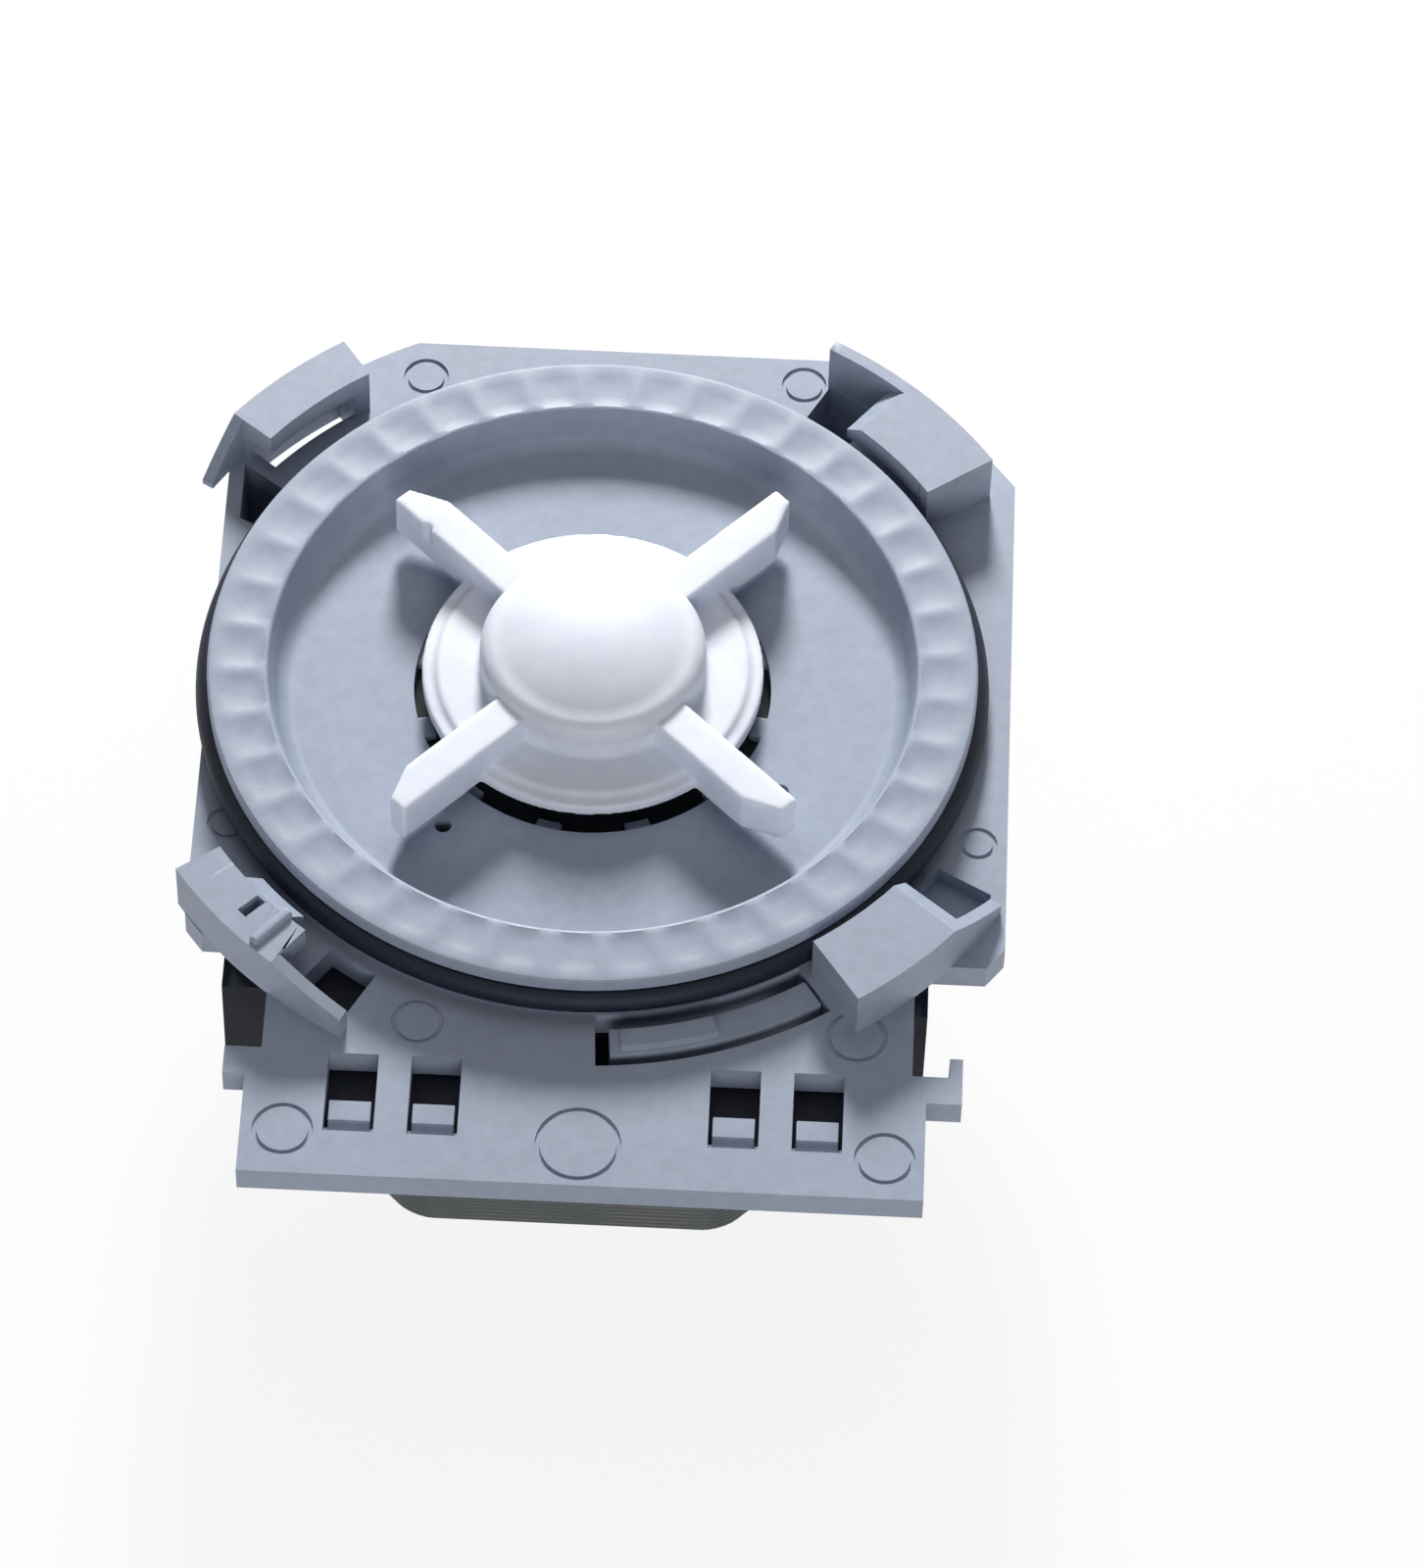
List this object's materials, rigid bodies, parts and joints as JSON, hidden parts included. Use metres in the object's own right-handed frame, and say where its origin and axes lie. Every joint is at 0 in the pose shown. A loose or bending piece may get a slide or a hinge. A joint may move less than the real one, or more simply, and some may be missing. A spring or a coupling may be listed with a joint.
{
  "type": "dishwasher drain pump",
  "caption": "Bayonet-mounted synchronous drain pump with a sealed round spigot, open-bladed impeller, sprung latch arm and laminated stator.",
  "frame": {"origin": "where the rotor axis meets the rim face of the spigot", "axes": "+Z along the rotor axis out of the wet side, +Y away from the stator yoke, +X to the right seen from the wet side"},
  "size_m": [0.0648, 0.0801, 0.0402],
  "materials": {
    "housing_grey": "moulded, satin",
    "seal_rubber": "moulded, dull",
    "carrier_black": "moulded, satin",
    "bearing_ceramic": "ground ceramic bush",
    "washer_white": "smooth",
    "shaft_steel": "ground",
    "magnet_ferrite": "sintered ferrite",
    "impeller_white": "moulded, satin",
    "core_lacquered": "lacquered laminations",
    "bobbin_dark": "moulded",
    "winding_copper": "enamelled wire",
    "coil_dark": "moulded, satin",
    "terminal_tin": "tinned brass"
  },
  "bodies": {
    "pump_body": {"front_housing": "housing_grey", "spigot_o_ring": "seal_rubber", "bearing_carrier": "carrier_black", "carrier_o_ring": "seal_rubber", "front_bearing": "bearing_ceramic", "front_bearing_boot": "seal_rubber", "rear_bearing": "bearing_ceramic", "rear_bearing_boot": "seal_rubber", "stator_core": "core_lacquered", "bobbin_left": "bobbin_dark", "bobbin_right": "bobbin_dark", "winding_left": "winding_copper", "winding_right": "winding_copper", "coil_housing": "coil_dark", "terminal_left": "terminal_tin", "terminal_right": "terminal_tin", "thermal_cutout": "bobbin_dark"},
    "rotor": {"rotor_shaft": "shaft_steel", "rotor_sleeve": "washer_white", "rotor_magnet": "magnet_ferrite", "rotor_cap_front": "carrier_black", "rotor_cap_rear": "carrier_black", "drive_dog": "carrier_black", "front_thrust_washer": "washer_white", "rear_thrust_washer": "washer_white"},
    "impeller_unit": {"impeller": "impeller_white", "impeller_hub_cover": "impeller_white", "coupling_damper": "seal_rubber"},
    "latch": {"latch_arm": "housing_grey"}
  },
  "joints": [
    {"name": "rotor_spin", "type": "hinge", "parent": "pump_body", "child": "rotor", "pos_m": [0, 0, -0.02], "axis": [0, 0, 1], "continuous": true},
    {"name": "impeller_lost_motion", "type": "hinge", "parent": "rotor", "child": "impeller_unit", "pos_m": [0, 0, 0], "axis": [0, 0, 1], "range_deg": [-105, 105]},
    {"name": "latch_flex", "type": "hinge", "parent": "pump_body", "child": "latch", "pos_m": [0.01814, -0.02721, -0.0054], "axis": [0.5548, -0.832, 0], "range_deg": [0, 8], "stiffness_Nm_per_rad": 0.6}
  ]
}
